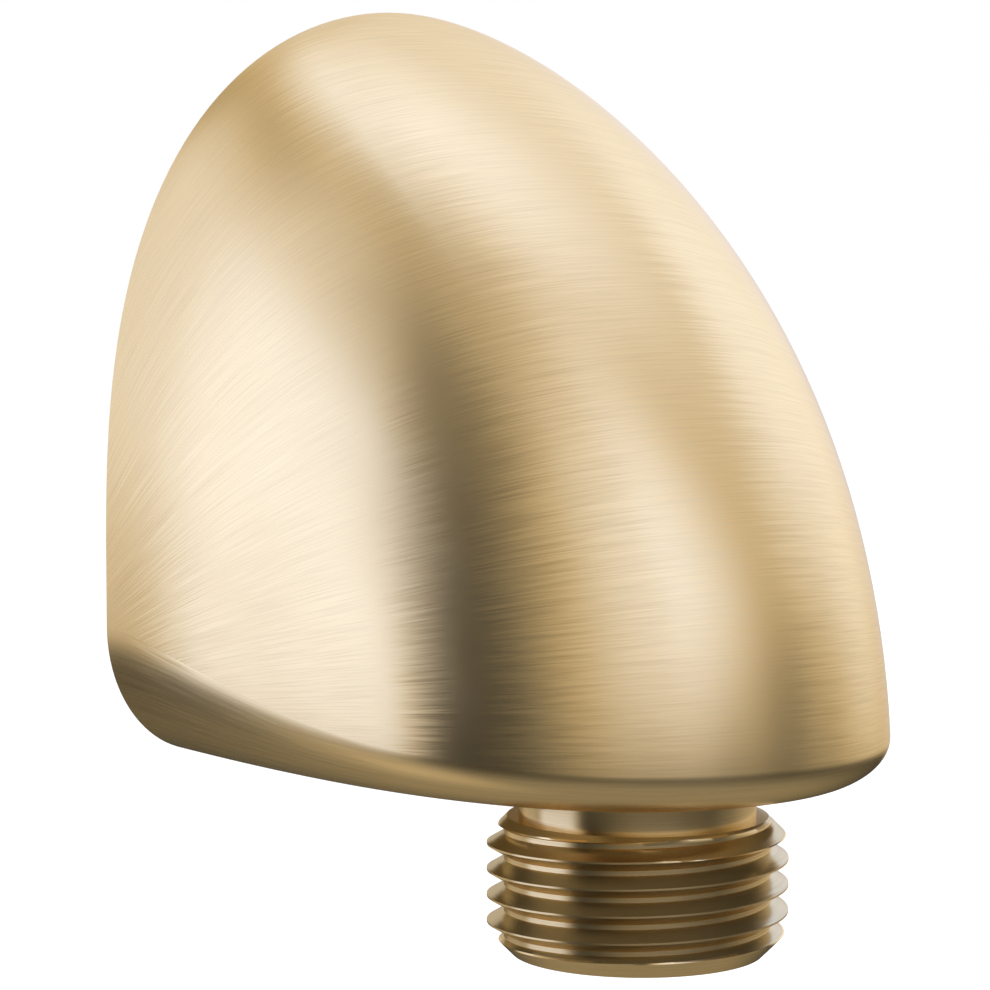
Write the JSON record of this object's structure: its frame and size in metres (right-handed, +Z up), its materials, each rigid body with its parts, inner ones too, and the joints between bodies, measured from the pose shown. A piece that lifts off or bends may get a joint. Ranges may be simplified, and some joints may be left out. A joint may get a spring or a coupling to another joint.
{
  "type": "wall outlet elbow",
  "caption": "Arched wall elbow for a hand shower: a threaded inlet in its open back, and a bent waterway to a downward male hose thread.",
  "frame": {"origin": "middle of the inlet's mouth, on the wall plane", "axes": "+Z up, +Y into the wall along the inlet's axis, +X to the right as seen from the room; the outlet points down"},
  "size_m": [0.0508, 0.0467, 0.0669],
  "materials": {
    "brushed_brass": "brushed, warm champagne bronze"
  },
  "bodies": {
    "root": {"elbow_body": "brushed_brass"}
  },
  "joints": []
}
